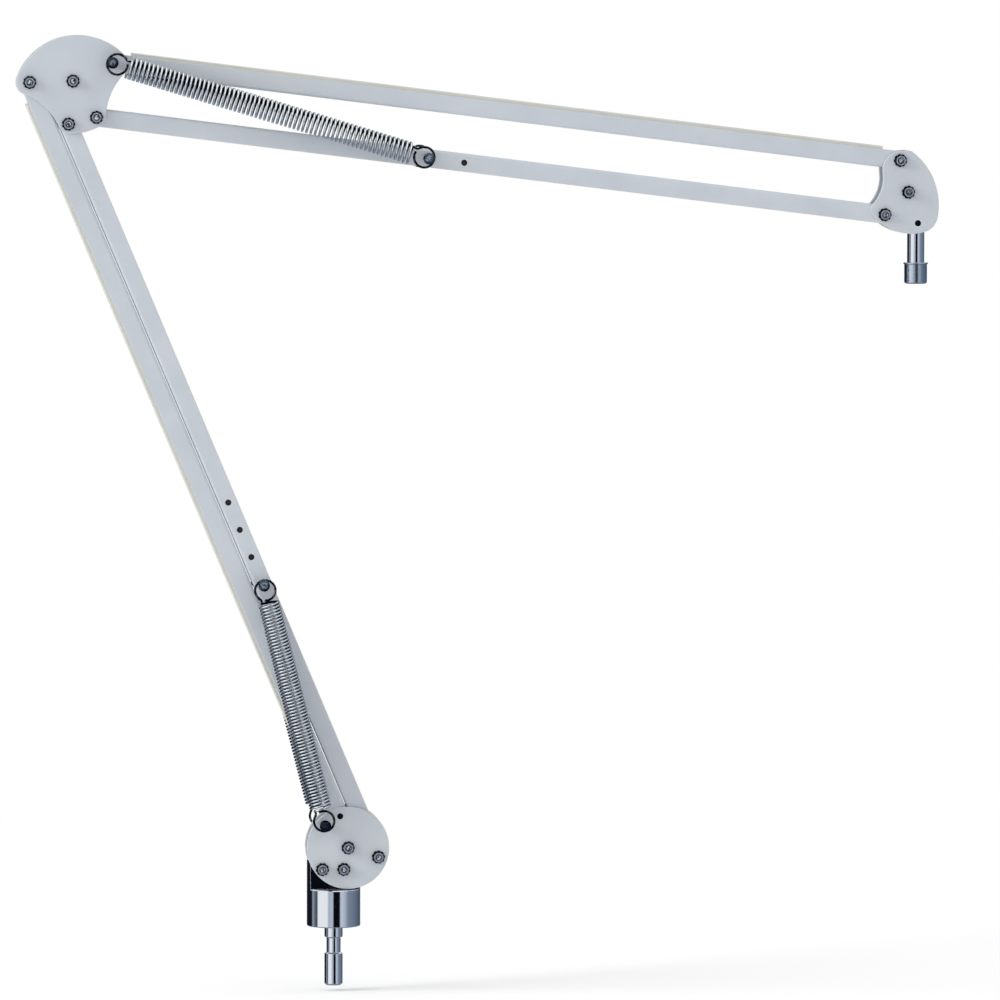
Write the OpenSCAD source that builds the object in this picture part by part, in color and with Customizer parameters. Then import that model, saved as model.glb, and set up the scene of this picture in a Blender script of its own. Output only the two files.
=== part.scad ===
// Balanced boom arm: two sprung parallelogram links between plate joints,
// a steel spigot at the foot and a threaded stud at the tip.
// X runs to the right, Y away from the viewer, Z up.
// The origin is the shoulder where the spigot leaves the hub.
// Every pivot axis is parallel to Y.

/* [Arms] */
// Length of each bar from pivot to pivot
bar_len = 550; // [500:5:600]
// Distance between the two pivots of a link
pivot_gap = 39; // [38:0.5:41]
// Direction of the lower arm, anticlockwise from X
lower_angle = 112.9; // [111:0.1:113]
// Direction of the upper arm, anticlockwise from X
upper_angle = -7; // [-20:0.5:10]
// Direction from the right to the left pivot at the base
base_link_angle = 132.9; // [132:0.1:134]
// Direction from the lower to the upper pivot of the upper arm
elbow_link_angle = 74.1; // [70:0.1:80]

/* [Bars] */
// Width of a channel bar across the arm
bar_w = 12.5; // [12:0.1:12.8]
// Wall of the channel
bar_wall = 1.2; // [1:0.1:1.6]
// Outside radius of the two bends of the channel
bend_r = 2; // [1.8:0.1:2.5]
// How far a cable cover stands above the bar
cover_rise = 2.2; // [1.6:0.1:2.8]
// Length of bar that a cover leaves free at each end
cover_setback = 13; // [11:0.5:20]
// Diameter of the spare spring post holes
spare_hole_d = 4.3; // [4:0.1:4.6]
// Distance between the spare holes
spare_pitch = 20.5; // [15:0.5:24]
// Distance of the lower spring post from the lower pivot
lower_post_at = 205.5; // [195:0.5:215]
// Distance of the upper spring post from the elbow pivot
upper_post_at = 230; // [220:1:240]

/* [Plates] */
// Clear width between two plates
plate_gap = 16.5; // [16:0.1:18]
// Thickness of a plate
plate_t = 2.4; // [2:0.1:3]
// Diameter of the two base discs
disc_d = 57; // [56:0.5:60]
// Gap between the hub and the edge of the discs
disc_gap = 0.5; // [0.3:0.1:2]

/* [Hub and spigot] */
// Diameter of the hub
hub_d = 37.3; // [36:0.1:38]
// Height of the round part of the hub
hub_h = 26; // [24:0.1:26]
// Diameter of the spigot, the half inch size
spigot_d = 12.7; // [12.6:0.05:12.8]
// Diameter of the locking groove of the spigot
waist_d = 9.9; // [9:0.1:11]
// Length of the spigot
spigot_len = 41.3; // [38:0.1:45]

/* [Tip] */
// Diameter of the tip stud
stud_d = 12; // [11.5:0.1:13]
// Outside diameter of the threaded end, the five eighths inch size
thread_d = 15.875; // [15.8:0.005:15.95]
// Length of the threaded end
thread_len = 14.7; // [12:0.1:18]
// Length of stud that shows between the plates and the threaded end
stud_show = 21; // [18:0.5:30]

/* [Fasteners] */
// Diameter of the bolts
bolt_d = 4.2; // [4:0.1:4.3]
// Nut size across its flats
nut_af = 6.8; // [6.5:0.1:7.2]
// Thickness of a nut
nut_h = 3.2; // [3:0.1:3.6]
// Outside diameter of a toothed washer
star_d = 9.3; // [8.8:0.1:9.8]
// Thickness of a toothed washer
star_t = 0.8; // [0.6:0.1:1]
// Teeth on a toothed washer
star_teeth = 9; // [8:1:12]
// Outside diameter of a pivot bush
bush_d = 6; // [5.8:0.1:6.4]

/* [Springs] */
// Outside diameter of a spring
spring_d = 15.8; // [15:0.1:16]
// Thickness of the spring wire
wire_d = 1.6; // [1.4:0.1:1.7]
// Turns modelled in each spring
spring_turns = 19; // [12:1:20]
// Distance of a spring axis from the middle plane
spring_y = 19.5; // [19.5:0.1:20.5]
// Diameter of a spring post in its groove
groove_d = 5; // [4.6:0.1:5.2]

/* [Fits] */
// Gap between a bore and what turns or slides in it
running_fit = 0.08; // [0.05:0.01:0.1]
// Gap between a hole and the fastener in it
hole_fit = 0.05; // [0.03:0.01:0.1]
// Gap on each side of a bar beyond its washer
side_play = 0.05; // [0.03:0.01:0.1]
// Thickness of a nylon washer
shim_t = 0.45; // [0.3:0.05:0.5]

/* [Hidden] */

// Colours of the finishes
cream = "ivory";
chrome = "silver";
zinc = "lightgray";
black = "dimgray";
nylon = "whitesmoke";

// Facets of round parts
$fn = 48;

// Depths along Y, measured out from the middle plane
inner_y = plate_gap / 2;
outer_y = inner_y + plate_t;
bar_half = inner_y - shim_t - side_play;
star_y = outer_y + star_t;
nut_y = star_y + nut_h;
bolt_over = 1;
bolt_y = nut_y + bolt_over;
post_head_gap = 0.5;
post_head_h = 2.7;
post_head_y = spring_y + wire_d / 2 + post_head_gap;
post_end_y = post_head_y + post_head_h;
end_r = bar_w / 2;
hole_r = bolt_d / 2 + hole_fit;
bore_r = bush_d / 2 + running_fit;

function polar(r, a) = [r * cos(a), r * sin(a)];
function unit(v) = v / norm(v);

// Pivot centres as X and Z, worked out link by link from the hub
disc_r = disc_d / 2;
disc_shift = 9.2;
pivot_inset = 6.5;
post_inset = 5.4;
disc_c = [disc_shift, hub_h + disc_gap + disc_r];
base_right = disc_c + polar(disc_r - pivot_inset, -17.4);
base_left = base_right + polar(pivot_gap, base_link_angle);
base_post = disc_c + polar(disc_r - post_inset, 135.4);
hub_bolts = [disc_c + [-17.85, -14.9], disc_c + [-3, -14.9]];
elbow_right = base_right + polar(bar_len, lower_angle);
elbow_left = base_left + polar(bar_len, lower_angle);
elbow_mid = elbow_right + [3.1, 29.5];
elbow_low = elbow_right + [19.2, 4.6];
elbow_top = elbow_low + polar(pivot_gap, elbow_link_angle);
tip_low = elbow_low + polar(bar_len, upper_angle);
tip_top = elbow_top + polar(bar_len, upper_angle);
tip_mid = tip_low + [16.4, 15.6];
tip_pin = tip_low + [23.2, -5.9];
lower_post = base_right + polar(lower_post_at, lower_angle);
upper_post = elbow_low + polar(upper_post_at, upper_angle);

// Moves a child drawn round the Y axis to a pivot
module at_pivot(p) translate([p.x, 0, p.y]) children();

// Cylinder along Y from y0 to y1
module rod(r, y0, y1) translate([0, y0, 0]) rotate([-90, 0, 0]) cylinder(r = r, h = y1 - y0);

// Tube along Y from y0 to y1
module tube(r, bore, y0, y1) difference() {
    rod(r, y0, y1);
    rod(bore, y0 - 1, y1 + 1);
}

// Outline drawn in X and Z, made solid from y0 to y1
module slab(y0, y1) translate([0, y1, 0]) rotate([90, 0, 0]) linear_extrude(y1 - y0) children();

// Centre of a circle of radius r that touches circles r1 at p and r2 at q, to the right of p to q
function touching(p, r1, q, r2, r) =
    let (d = norm(q - p), u = (q - p) / d, a = r + r1, b = r + r2, s = (a * a - b * b + d * d) / (2 * d))
    p + s * u + sqrt(a * a - s * s) * [u.y, -u.x];

// Spigot with its locking groove, and a neck that is pressed into the hub
spigot_r = spigot_d / 2;
waist_r = waist_d / 2;
spigot_collar = 7.6;
waist_len = 11.7;
waist_taper = 0.8;
spigot_chamfer = 1.2;
spigot_neck = 14;
hub_r = hub_d / 2;
hub_edge = 0.6;
module spigot() color(chrome) rotate_extrude() polygon([
    [0, spigot_neck],
    [waist_r, spigot_neck],
    [waist_r, 0],
    [spigot_r, 0],
    [spigot_r, -spigot_collar],
    [waist_r, -spigot_collar - waist_taper],
    [waist_r, -spigot_collar - waist_len + waist_taper],
    [spigot_r, -spigot_collar - waist_len],
    [spigot_r, spigot_chamfer - spigot_len],
    [spigot_r - spigot_chamfer, -spigot_len],
    [0, -spigot_len]]);

// Round hub with a flat tongue that stands between the two discs
tongue_h = 20;
tongue_top = hub_h + tongue_h;
module hub() color(chrome) difference() {
    union() {
        rotate_extrude() polygon([
            [0, 0],
            [hub_r - hub_edge, 0],
            [hub_r, hub_edge],
            [hub_r, hub_h - hub_edge],
            [hub_r - hub_edge, hub_h],
            [0, hub_h]]);
        intersection() {
            cylinder(r = hub_r, h = tongue_top);
            translate([-hub_r, -inner_y, hub_h / 2]) cube([hub_d, plate_gap, tongue_top]);
        }
    }
    translate([0, 0, -1]) cylinder(r = waist_r, h = spigot_neck + 1);
    for (p = hub_bolts) at_pivot(p) rod(hole_r, -hub_r, hub_r);
}

// Domed head, flat side down
dome_r = 5.2;
module dome(r, h) rotate_extrude() intersection() {
    square([r, h]);
    translate([0, h - dome_r]) circle(r = dome_r);
}

// Bolt with its head behind the rear plate and its end in front of the nut
bolt_head_r = 4;
bolt_head_h = 2.6;
bolt_point = 0.5;
hex_key = 2.9;
module bolt_at(p) at_pivot(p) difference() {
    union() {
        rod(bolt_d / 2, bolt_point - bolt_y, outer_y + bolt_head_h / 2);
        translate([0, -bolt_y, 0]) rotate([-90, 0, 0])
            cylinder(r1 = bolt_d / 2 - bolt_point, r2 = bolt_d / 2, h = bolt_point);
        translate([0, outer_y, 0]) rotate([-90, 0, 0]) dome(bolt_head_r, bolt_head_h);
    }
    translate([0, outer_y + 1, 0]) rotate([-90, 0, 0]) cylinder(d = hex_key, h = bolt_head_h, $fn = 6);
}

// Hexagon nut with chamfered corners
nut_r = nut_af / 2 / cos(30);
nut_chamfer = 0.5;
module nut_at(p, turn) at_pivot(p) rotate([0, turn, 0]) difference() {
    intersection() {
        translate([0, -star_y, 0]) rotate([90, 0, 0]) cylinder(r = nut_r, h = nut_h, $fn = 6);
        translate([0, -star_y, 0]) rotate([90, 0, 0]) rotate_extrude() polygon([
            [0, 0],
            [nut_r + 0.1, 0],
            [nut_r + 0.1, nut_h - nut_chamfer],
            [nut_af / 2 - 0.1, nut_h],
            [0, nut_h]]);
    }
    rod(hole_r, -nut_y - 1, -star_y + 1);
}

// Washer with square teeth all round, each a little narrower at its tip
star_tooth = 1;
star_step = 360 / star_teeth;
tooth_root = 0.32 * star_step;
tooth_tip = 0.22 * star_step;
star_points = [for (i = [0:star_teeth - 1]) let (a = i * star_step) each [
    polar(star_d / 2 - star_tooth, a - tooth_root),
    polar(star_d / 2, a - tooth_tip),
    polar(star_d / 2, a + tooth_tip),
    polar(star_d / 2 - star_tooth, a + tooth_root)]];
module star_washer_at(p, turn) at_pivot(p) rotate([0, turn, 0]) difference() {
    slab(-star_y, -outer_y) polygon(star_points);
    rod(hole_r, -star_y - 1, -outer_y + 1);
}

// Nylon washers between a bar and the two plates
shim_r = end_r - 0.2;
module nylon_washers_at(p) at_pivot(p) for (y = [-inner_y, inner_y - shim_t])
    tube(shim_r, bush_d / 2 + hole_fit, y, y + shim_t);

// Bush that a bar turns on, clamped between the plates
module bush_at(p) at_pivot(p) tube(bush_d / 2, hole_r, -inner_y, inner_y);

// Shoulder screws that the springs hook over, one on each side of the middle plane
post_head_r = 4;
hook_gap = 0.3;
groove_half = wire_d / 2 + hook_gap;
module spring_posts_at(p, seat_y) at_pivot(p) for (flip = [0, 1]) mirror([0, flip, 0]) {
    rod(bolt_d / 2, 0.2, seat_y + 1);
    rod(bush_d / 2, seat_y, spring_y - groove_half);
    rod(groove_d / 2, seat_y, post_head_y + 1);
    translate([0, post_head_y, 0]) rotate([-90, 0, 0]) dome(post_head_r, post_end_y - post_head_y);
}

// Base discs and what is clamped between them
module base_disc(y0, y1) color(cream) difference() {
    slab(y0, y1) translate(disc_c) circle(d = disc_d, $fn = 96);
    for (p = concat(hub_bolts, [disc_c, base_right, base_left, base_post]))
        at_pivot(p) rod(hole_r, y0 - 1, y1 + 1);
}
module base_disc_front() base_disc(-outer_y, -inner_y);
module base_disc_rear() base_disc(inner_y, outer_y);

base_bolted = concat(hub_bolts, [disc_c, base_right]);
spacer_r = 4;
module base_spacer_tubes() color(zinc) {
    at_pivot(disc_c) tube(spacer_r, hole_r, -inner_y, inner_y);
    bush_at(base_post);
}
module base_bolts() color(zinc) for (p = base_bolted) bolt_at(p);
module base_nuts() color(zinc) for (i = [0:len(base_bolted) - 1]) nut_at(base_bolted[i], 17 * i);
module base_star_washers() color(zinc)
    for (i = [0:len(base_bolted) - 1]) star_washer_at(base_bolted[i], 11 * i);
module base_spring_posts() color(chrome) spring_posts_at(base_post, outer_y);
module base_left_pin() color(black) at_pivot(base_left) rod(bolt_d / 2, -outer_y, outer_y);
module base_pivot_bushes() color(zinc) for (p = [base_right, base_left]) bush_at(p);
module base_nylon_washers() color(nylon) for (p = [base_right, base_left]) nylon_washers_at(p);

// Long block along X, open-ended above, with its two lower edges rounded
module folded(half, low, r) translate([-bar_w, 0, 0]) {
    length = bar_len + 2 * bar_w;
    translate([0, -half, low + r]) cube([length, 2 * half, bar_w]);
    translate([0, r - half, low]) cube([length, 2 * (half - r), bar_w]);
    for (y = [r - half, half - r])
        translate([0, y, low + r]) rotate([0, 90, 0]) cylinder(r = r, h = length);
}

// Channel bar along X from its first pivot, with its web below and its open side above
module channel_bar(posts, spare) difference() {
    intersection() {
        slab(-bar_half, bar_half) {
            translate([0, -end_r]) square([bar_len, bar_w]);
            circle(r = end_r);
            translate([bar_len, 0]) circle(r = end_r);
        }
        folded(bar_half, -end_r, bend_r);
    }
    folded(bar_half - bar_wall, bar_wall - end_r, bend_r - bar_wall);
    for (x = [0, bar_len]) translate([x, 0, 0]) rod(bore_r, -bar_half - 1, bar_half + 1);
    for (x = posts) translate([x, 0, 0]) rod(hole_r, -bar_half - 1, bar_half + 1);
    for (x = spare) translate([x, 0, 0]) rod(spare_hole_d / 2, -bar_half - 1, bar_half + 1);
}

// Places a bar at its first pivot, turned over where its open side faces down
module along(p, angle, over = false)
    at_pivot(p) rotate([0, -angle, 0]) mirror([0, 0, over ? 1 : 0]) children();

// Black caps in the spare holes, flush with both faces of a bar
module hole_plugs(spare) color(black) for (x = spare, y = [-bar_half, bar_half - bar_wall])
    translate([x, 0, 0]) rod(spare_hole_d / 2 - hole_fit, y, y + bar_wall);

// Cover that rests on the two edges of a channel and grips inside them
cover_leg = 5;
cover_edge = 0.5;
cover_margin = 0.4;
cover_in = bar_half - bar_wall - hole_fit;
cover_half = bar_half - cover_margin;
cover_top = end_r + cover_rise;
module cable_cover() color(cream)
    translate([cover_setback, 0, 0]) rotate([90, 0, 90]) linear_extrude(bar_len - 2 * cover_setback)
        polygon([
            [-cover_half, end_r],
            [-cover_half, cover_top - cover_edge],
            [cover_edge - cover_half, cover_top],
            [cover_half - cover_edge, cover_top],
            [cover_half, cover_top - cover_edge],
            [cover_half, end_r],
            [cover_in, end_r],
            [cover_in, end_r - cover_leg],
            [cover_in - bar_wall, end_r - cover_leg],
            [cover_in - bar_wall, end_r],
            [bar_wall - cover_in, end_r],
            [bar_wall - cover_in, end_r - cover_leg],
            [-cover_in, end_r - cover_leg],
            [-cover_in, end_r]]);

// Tube round the bolt of the spring posts, inside a bar
module post_spacer_at(p) at_pivot(p)
    tube(bush_d / 2, hole_r, bar_wall - bar_half, bar_half - bar_wall);

// The bars of the two arms, with their covers and posts
lower_spares = [for (i = [1:3]) lower_post_at + i * spare_pitch];
upper_spares = [upper_post_at + 1.25 * spare_pitch];
module lower_right_bar() color(cream)
    along(base_right, lower_angle, true) channel_bar([lower_post_at], lower_spares);
module lower_left_bar() color(cream) along(base_left, lower_angle) channel_bar([], []);
module lower_hole_plugs() along(base_right, lower_angle, true) hole_plugs(lower_spares);
module lower_cable_cover() along(base_left, lower_angle) cable_cover();
module lower_bar_spring_posts() color(chrome) spring_posts_at(lower_post, bar_half);
module lower_post_spacer() color(zinc) post_spacer_at(lower_post);
module upper_bottom_bar() color(cream)
    along(elbow_low, upper_angle, true) channel_bar([upper_post_at], upper_spares);
module upper_top_bar() color(cream) along(elbow_top, upper_angle) channel_bar([], []);
module upper_hole_plugs() along(elbow_low, upper_angle, true) hole_plugs(upper_spares);
module upper_cable_cover() along(elbow_top, upper_angle) cable_cover();
module upper_bar_spring_posts() color(chrome) spring_posts_at(upper_post, bar_half);
module upper_post_spacer() color(zinc) post_spacer_at(upper_post);

// A corner of a plate is [centre, radius], and an edge between two is [centre, radius, 1 or -1]:
// 1 swells outwards and -1 is hollowed. Corners and edges go clockwise round the plate.
function swell(a, b, r) = [touching(a[0], -a[1], b[0], -b[1], r), r, 1];
function hollow(a, b, r) = [touching(b[0], b[1], a[0], a[1], r), r, -1];
function bearing(v) = atan2(v.y, v.x);

// Points of a round corner, clockwise, and of an edge without its ends
corner_step = 9;
edge_step = 3;
function corner_points(c, r, from, to) =
    let (turn = (from - to + 720) % 360, n = ceil(turn / corner_step))
    [for (i = [0:n]) c + polar(r, from - turn * i / n)];
function edge_points(c, r, from, to) =
    let (turn = (to - from + 900) % 360 - 180, n = ceil(abs(turn) / edge_step))
    [for (i = [1:n - 1]) c + polar(r, from + turn * i / n)];

function outline(corners, edges) = [for (i = [0:len(corners) - 1]) let (
    p = corners[i],
    q = corners[(i + 1) % len(corners)],
    last = edges[(i + len(edges) - 1) % len(edges)],
    next = edges[i])
    each concat(
        corner_points(p[0], p[1], bearing(last[2] * (p[0] - last[0])), bearing(next[2] * (p[0] - next[0]))),
        edge_points(next[0], next[1], bearing(p[0] - next[0]), bearing(q[0] - next[0])))];

// Elbow plate
elbow_left_r = 9;
elbow_top_r = 9.8;
elbow_low_r = 6.5;
elbow_crown_r = 44.4;
elbow_right_hollow_r = 44.5;
elbow_foot_r = 40;
elbow_left_hollow_r = 42;
elbow_corners = [
    [elbow_left, elbow_left_r],
    [elbow_top + [1.2, -1], elbow_top_r],
    [elbow_low, elbow_low_r],
    [elbow_right, elbow_low_r]];
elbow_edges = [
    swell(elbow_corners[0], elbow_corners[1], elbow_crown_r),
    hollow(elbow_corners[1], elbow_corners[2], elbow_right_hollow_r),
    swell(elbow_corners[2], elbow_corners[3], elbow_foot_r),
    hollow(elbow_corners[3], elbow_corners[0], elbow_left_hollow_r)];
elbow_bolted = [elbow_right, elbow_left, elbow_mid, elbow_low];
module elbow_plate(y0, y1) color(cream) difference() {
    slab(y0, y1) polygon(outline(elbow_corners, elbow_edges));
    for (p = concat(elbow_bolted, [elbow_top])) at_pivot(p) rod(hole_r, y0 - 1, y1 + 1);
}
module elbow_plate_front() elbow_plate(-outer_y, -inner_y);
module elbow_plate_rear() elbow_plate(inner_y, outer_y);
module elbow_spacer_tube() color(zinc) at_pivot(elbow_mid) tube(spacer_r, hole_r, -inner_y, inner_y);
elbow_pivots = [elbow_right, elbow_left, elbow_low, elbow_top];
module elbow_bushes() color(zinc) for (p = elbow_pivots) bush_at(p);
module elbow_bolts() color(zinc) for (p = elbow_bolted) bolt_at(p);
module elbow_nuts() color(zinc) for (i = [0:3]) nut_at(elbow_bolted[i], 13 * i + 5);
module elbow_star_washers() color(zinc) for (i = [0:3]) star_washer_at(elbow_bolted[i], 9 * i);
module elbow_spring_posts() color(chrome) spring_posts_at(elbow_top, outer_y);
module elbow_nylon_washers() color(nylon) for (p = elbow_pivots) nylon_washers_at(p);

// Tip plate
tip_crown_r = 60;
tip_nose_r = 46.5;
tip_foot_r = 34;
tip_hollow_r = 27;
tip_left_r = 13;
tip_right_r = 5;
tip_heel_r = 12.5;
tip_toe_r = 4.7;
tip_heel = tip_low + [24.6, 0.1];
tip_corners = [
    [tip_top + [0.8, -6.5], tip_left_r],
    [tip_top + [5.5, 2], tip_right_r],
    [tip_heel, tip_heel_r],
    [tip_low + [-5.2, 3.7], tip_toe_r]];
tip_edges = [
    swell(tip_corners[0], tip_corners[1], tip_crown_r),
    swell(tip_corners[1], tip_corners[2], tip_nose_r),
    swell(tip_corners[2], tip_corners[3], tip_foot_r),
    hollow(tip_corners[3], tip_corners[0], tip_hollow_r)];
tip_bolted = [tip_low, tip_mid, tip_top];
module tip_plate(y0, y1) color(cream) difference() {
    slab(y0, y1) polygon(outline(tip_corners, tip_edges));
    for (p = concat(tip_bolted, [tip_pin])) at_pivot(p) rod(hole_r, y0 - 1, y1 + 1);
}
module tip_plate_front() tip_plate(-outer_y, -inner_y);
module tip_plate_rear() tip_plate(inner_y, outer_y);

// Block that holds the stud between the plates
block_size = [21.5, 35];
block_round = 3;
block_corner = tip_low + [9.5, -11];
stud_x = tip_pin.x;
stud_r = stud_d / 2;
stud_reach = 11;
stud_top = tip_low.y + stud_reach;
stud_low = tip_heel.y - tip_heel_r - stud_show;
thread_bottom = stud_low - thread_len;
module tip_block() color(zinc) difference() {
    slab(-inner_y, inner_y) translate(block_corner) {
        translate([block_round, 0]) square([block_size.x - 2 * block_round, block_size.y]);
        translate([0, block_round]) square([block_size.x, block_size.y - 2 * block_round]);
        for (x = [block_round, block_size.x - block_round], z = [block_round, block_size.y - block_round])
            translate([x, z]) circle(r = block_round);
    }
    translate([stud_x, 0, block_corner.y - 1])
        cylinder(r = stud_r + hole_fit, h = stud_top - block_corner.y + 1);
    for (p = [tip_mid, tip_pin]) at_pivot(p) rod(hole_r, -inner_y - 1, inner_y + 1);
}
module tip_bushes() color(zinc) for (p = [tip_low, tip_top]) bush_at(p);
module tip_bolts() color(zinc) for (p = tip_bolted) bolt_at(p);
module tip_nuts() color(zinc) for (i = [0:2]) nut_at(tip_bolted[i], 19 * i + 8);
module tip_star_washers() color(zinc) for (i = [0:2]) star_washer_at(tip_bolted[i], 12 * i + 3);
module tip_nylon_washers() color(nylon) for (p = [tip_low, tip_top]) nylon_washers_at(p);
module tip_cross_pin() color(black) at_pivot(tip_pin) rod(bolt_d / 2, -outer_y, outer_y);

stud_foot = 0.5;
module mic_stud() color(chrome) difference() {
    translate([stud_x, 0, thread_bottom + stud_foot])
        cylinder(r = stud_r, h = stud_top - thread_bottom - stud_foot);
    at_pivot(tip_pin) rod(hole_r, -stud_d, stud_d);
}

// Threaded end, drawn at the outside diameter of its thread
thread_r = thread_d / 2;
thread_rim = 0.6;
thread_rim_h = 1.4;
thread_rim_edge = 0.3;
thread_chamfer = 0.9;
module thread_end() color(chrome) translate([stud_x, 0, thread_bottom]) rotate_extrude() polygon([
    [stud_r + hole_fit, 0],
    [thread_r - thread_chamfer, 0],
    [thread_r, thread_chamfer],
    [thread_r, thread_len - thread_rim_h],
    [thread_r + thread_rim, thread_len - thread_rim_h + thread_rim_edge],
    [thread_r + thread_rim, thread_len - thread_rim_edge],
    [thread_r + thread_rim - thread_rim_edge, thread_len],
    [stud_r + hole_fit, thread_len]]);

// Springs. Along a spring x runs from post to post, y across it in the plane of the arm.
spring_r = (spring_d - wire_d) / 2;
hook_x = spring_r - wire_d / 2 - groove_d / 2 - hook_gap;
coil_x = hook_x + spring_r + wire_d + 0.8;
coil_bend_r = 3;
coil_bend_turn = coil_bend_r / spring_r * 180 / PI;
rings = 8;
sides = 6;

// Open loop round the post, a straight run and the bend into the first turn
hook_path = concat(
    [for (a = [300:-30:90]) [hook_x + spring_r * cos(a), spring_r * sin(a), 0]],
    [for (a = [0:30:60]) let (t = coil_bend_turn * (1 - cos(a)))
        [coil_x - coil_bend_r + coil_bend_r * sin(a), spring_r * cos(t), spring_r * sin(t)]]);

function coil_path(length) = let (
    steps = rings * spring_turns,
    first = coil_bend_turn,
    last = 360 * spring_turns - coil_bend_turn)
    [for (i = [0:steps]) let (t = first + (last - first) * i / steps)
        [coil_x + (length - 2 * coil_x) * i / steps, spring_r * cos(t), spring_r * sin(t)]];

function spring_path(length) = concat(
    hook_path,
    coil_path(length),
    [for (i = [len(hook_path) - 1:-1:0]) let (p = hook_path[i]) [length - p.x, p.y, -p.z]]);

function heading(path, i) = unit(path[min(i + 1, len(path) - 1)] - path[max(i - 1, 0)]);
function square_to(v, t) = unit(v - (v * t) * t);

// Outward direction carried along the path without twist
function normals(path) = [
    for (i = 0, n = square_to([1, 0, 0], heading(path, 0)); i < len(path);
        i = i + 1, n = i < len(path) ? square_to(n, heading(path, i)) : n) n];

// Least distance between two stretches of a path that are more than half a turn apart, less the wire
function least_gap(path) = min([for (i = [0:len(path) - rings / 2 - 2])
    min([for (j = [i + rings / 2 + 1:len(path) - 1]) norm(path[i] - path[j])])]) - wire_d;

module wire_along(path) {
    n = normals(path);
    last = len(path) - 1;
    points = [for (i = [0:last], k = [0:sides - 1])
        let (t = heading(path, i), b = cross(t, n[i]), a = 360 * k / sides)
        path[i] + wire_d / 2 * (cos(a) * n[i] + sin(a) * b)];
    walls = [for (i = [0:last - 1], k = [0:sides - 1])
        let (a = i * sides + k, b = i * sides + (k + 1) % sides)
        each [[a, a + sides, b + sides], [a, b + sides, b]]];
    ends = [for (k = [1:sides - 2])
        each [[0, k, k + 1], [last * sides, last * sides + k + 1, last * sides + k]]];
    polyhedron(points, concat(walls, ends));
}

module spring(p, q, y) {
    path = spring_path(norm(q - p));
    echo(least_gap_between_turns = least_gap(path));
    translate([p.x, y, p.y]) rotate([0, -atan2(q.y - p.y, q.x - p.x), 0])
        rotate([90, 0, 0]) wire_along(path);
}
module lower_spring_front() color(zinc) spring(base_post, lower_post, -spring_y);
module lower_spring_rear() color(zinc) spring(base_post, lower_post, spring_y);
module upper_spring_front() color(zinc) spring(elbow_top, upper_post, -spring_y);
module upper_spring_rear() color(zinc) spring(elbow_top, upper_post, spring_y);

spigot();
hub();
base_disc_front();
base_disc_rear();
base_spacer_tubes();
base_bolts();
base_nuts();
base_star_washers();
base_spring_posts();
base_left_pin();
base_pivot_bushes();
base_nylon_washers();
lower_right_bar();
lower_left_bar();
lower_cable_cover();
lower_hole_plugs();
lower_bar_spring_posts();
lower_post_spacer();
lower_spring_front();
lower_spring_rear();
elbow_plate_front();
elbow_plate_rear();
elbow_spacer_tube();
elbow_bushes();
elbow_bolts();
elbow_nuts();
elbow_star_washers();
elbow_spring_posts();
elbow_nylon_washers();
upper_bottom_bar();
upper_top_bar();
upper_cable_cover();
upper_hole_plugs();
upper_bar_spring_posts();
upper_post_spacer();
upper_spring_front();
upper_spring_rear();
tip_plate_front();
tip_plate_rear();
tip_block();
tip_bushes();
tip_bolts();
tip_nuts();
tip_star_washers();
tip_nylon_washers();
tip_cross_pin();
mic_stud();
thread_end();
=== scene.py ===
import math

import bmesh
import bpy
from mathutils import Matrix, Vector


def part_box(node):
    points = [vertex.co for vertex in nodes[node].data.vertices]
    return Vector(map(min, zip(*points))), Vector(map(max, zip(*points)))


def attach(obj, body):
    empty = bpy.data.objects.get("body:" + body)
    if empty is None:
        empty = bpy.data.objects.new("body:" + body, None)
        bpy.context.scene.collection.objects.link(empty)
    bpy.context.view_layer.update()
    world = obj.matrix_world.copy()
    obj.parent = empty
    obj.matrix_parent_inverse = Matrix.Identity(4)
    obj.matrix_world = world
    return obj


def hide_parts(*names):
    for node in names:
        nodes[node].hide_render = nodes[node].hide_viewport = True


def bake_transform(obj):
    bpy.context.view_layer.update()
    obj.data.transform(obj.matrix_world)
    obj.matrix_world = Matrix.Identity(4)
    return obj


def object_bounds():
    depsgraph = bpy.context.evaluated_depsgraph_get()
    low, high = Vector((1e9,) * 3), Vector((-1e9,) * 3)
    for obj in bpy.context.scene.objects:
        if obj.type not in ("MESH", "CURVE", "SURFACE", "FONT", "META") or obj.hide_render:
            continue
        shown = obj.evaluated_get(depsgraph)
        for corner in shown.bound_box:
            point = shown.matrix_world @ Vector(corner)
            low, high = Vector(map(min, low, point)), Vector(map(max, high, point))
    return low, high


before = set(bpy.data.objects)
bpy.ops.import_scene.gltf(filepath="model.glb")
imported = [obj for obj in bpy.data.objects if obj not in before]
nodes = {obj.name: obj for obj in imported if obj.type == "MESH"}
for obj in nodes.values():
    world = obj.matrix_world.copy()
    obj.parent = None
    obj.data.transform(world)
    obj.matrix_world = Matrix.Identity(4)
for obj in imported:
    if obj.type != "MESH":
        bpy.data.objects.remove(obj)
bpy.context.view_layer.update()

# Hub, spigot, stud and threaded end. They are turned from bar steel and bright chromed. The
# spigot's neck is pressed into the hub, whose tongue stands between the discs, and the threaded
# end is locked on the stud.


def linear(hex_colour):
    """An sRGB hex colour as a linear colour with alpha."""
    parts = [int(hex_colour[i : i + 2], 16) / 255 for i in (1, 3, 5)]
    return [c / 12.92 if c <= 0.04045 else ((c + 0.055) / 1.055) ** 2.4 for c in parts] + [1.0]


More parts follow.
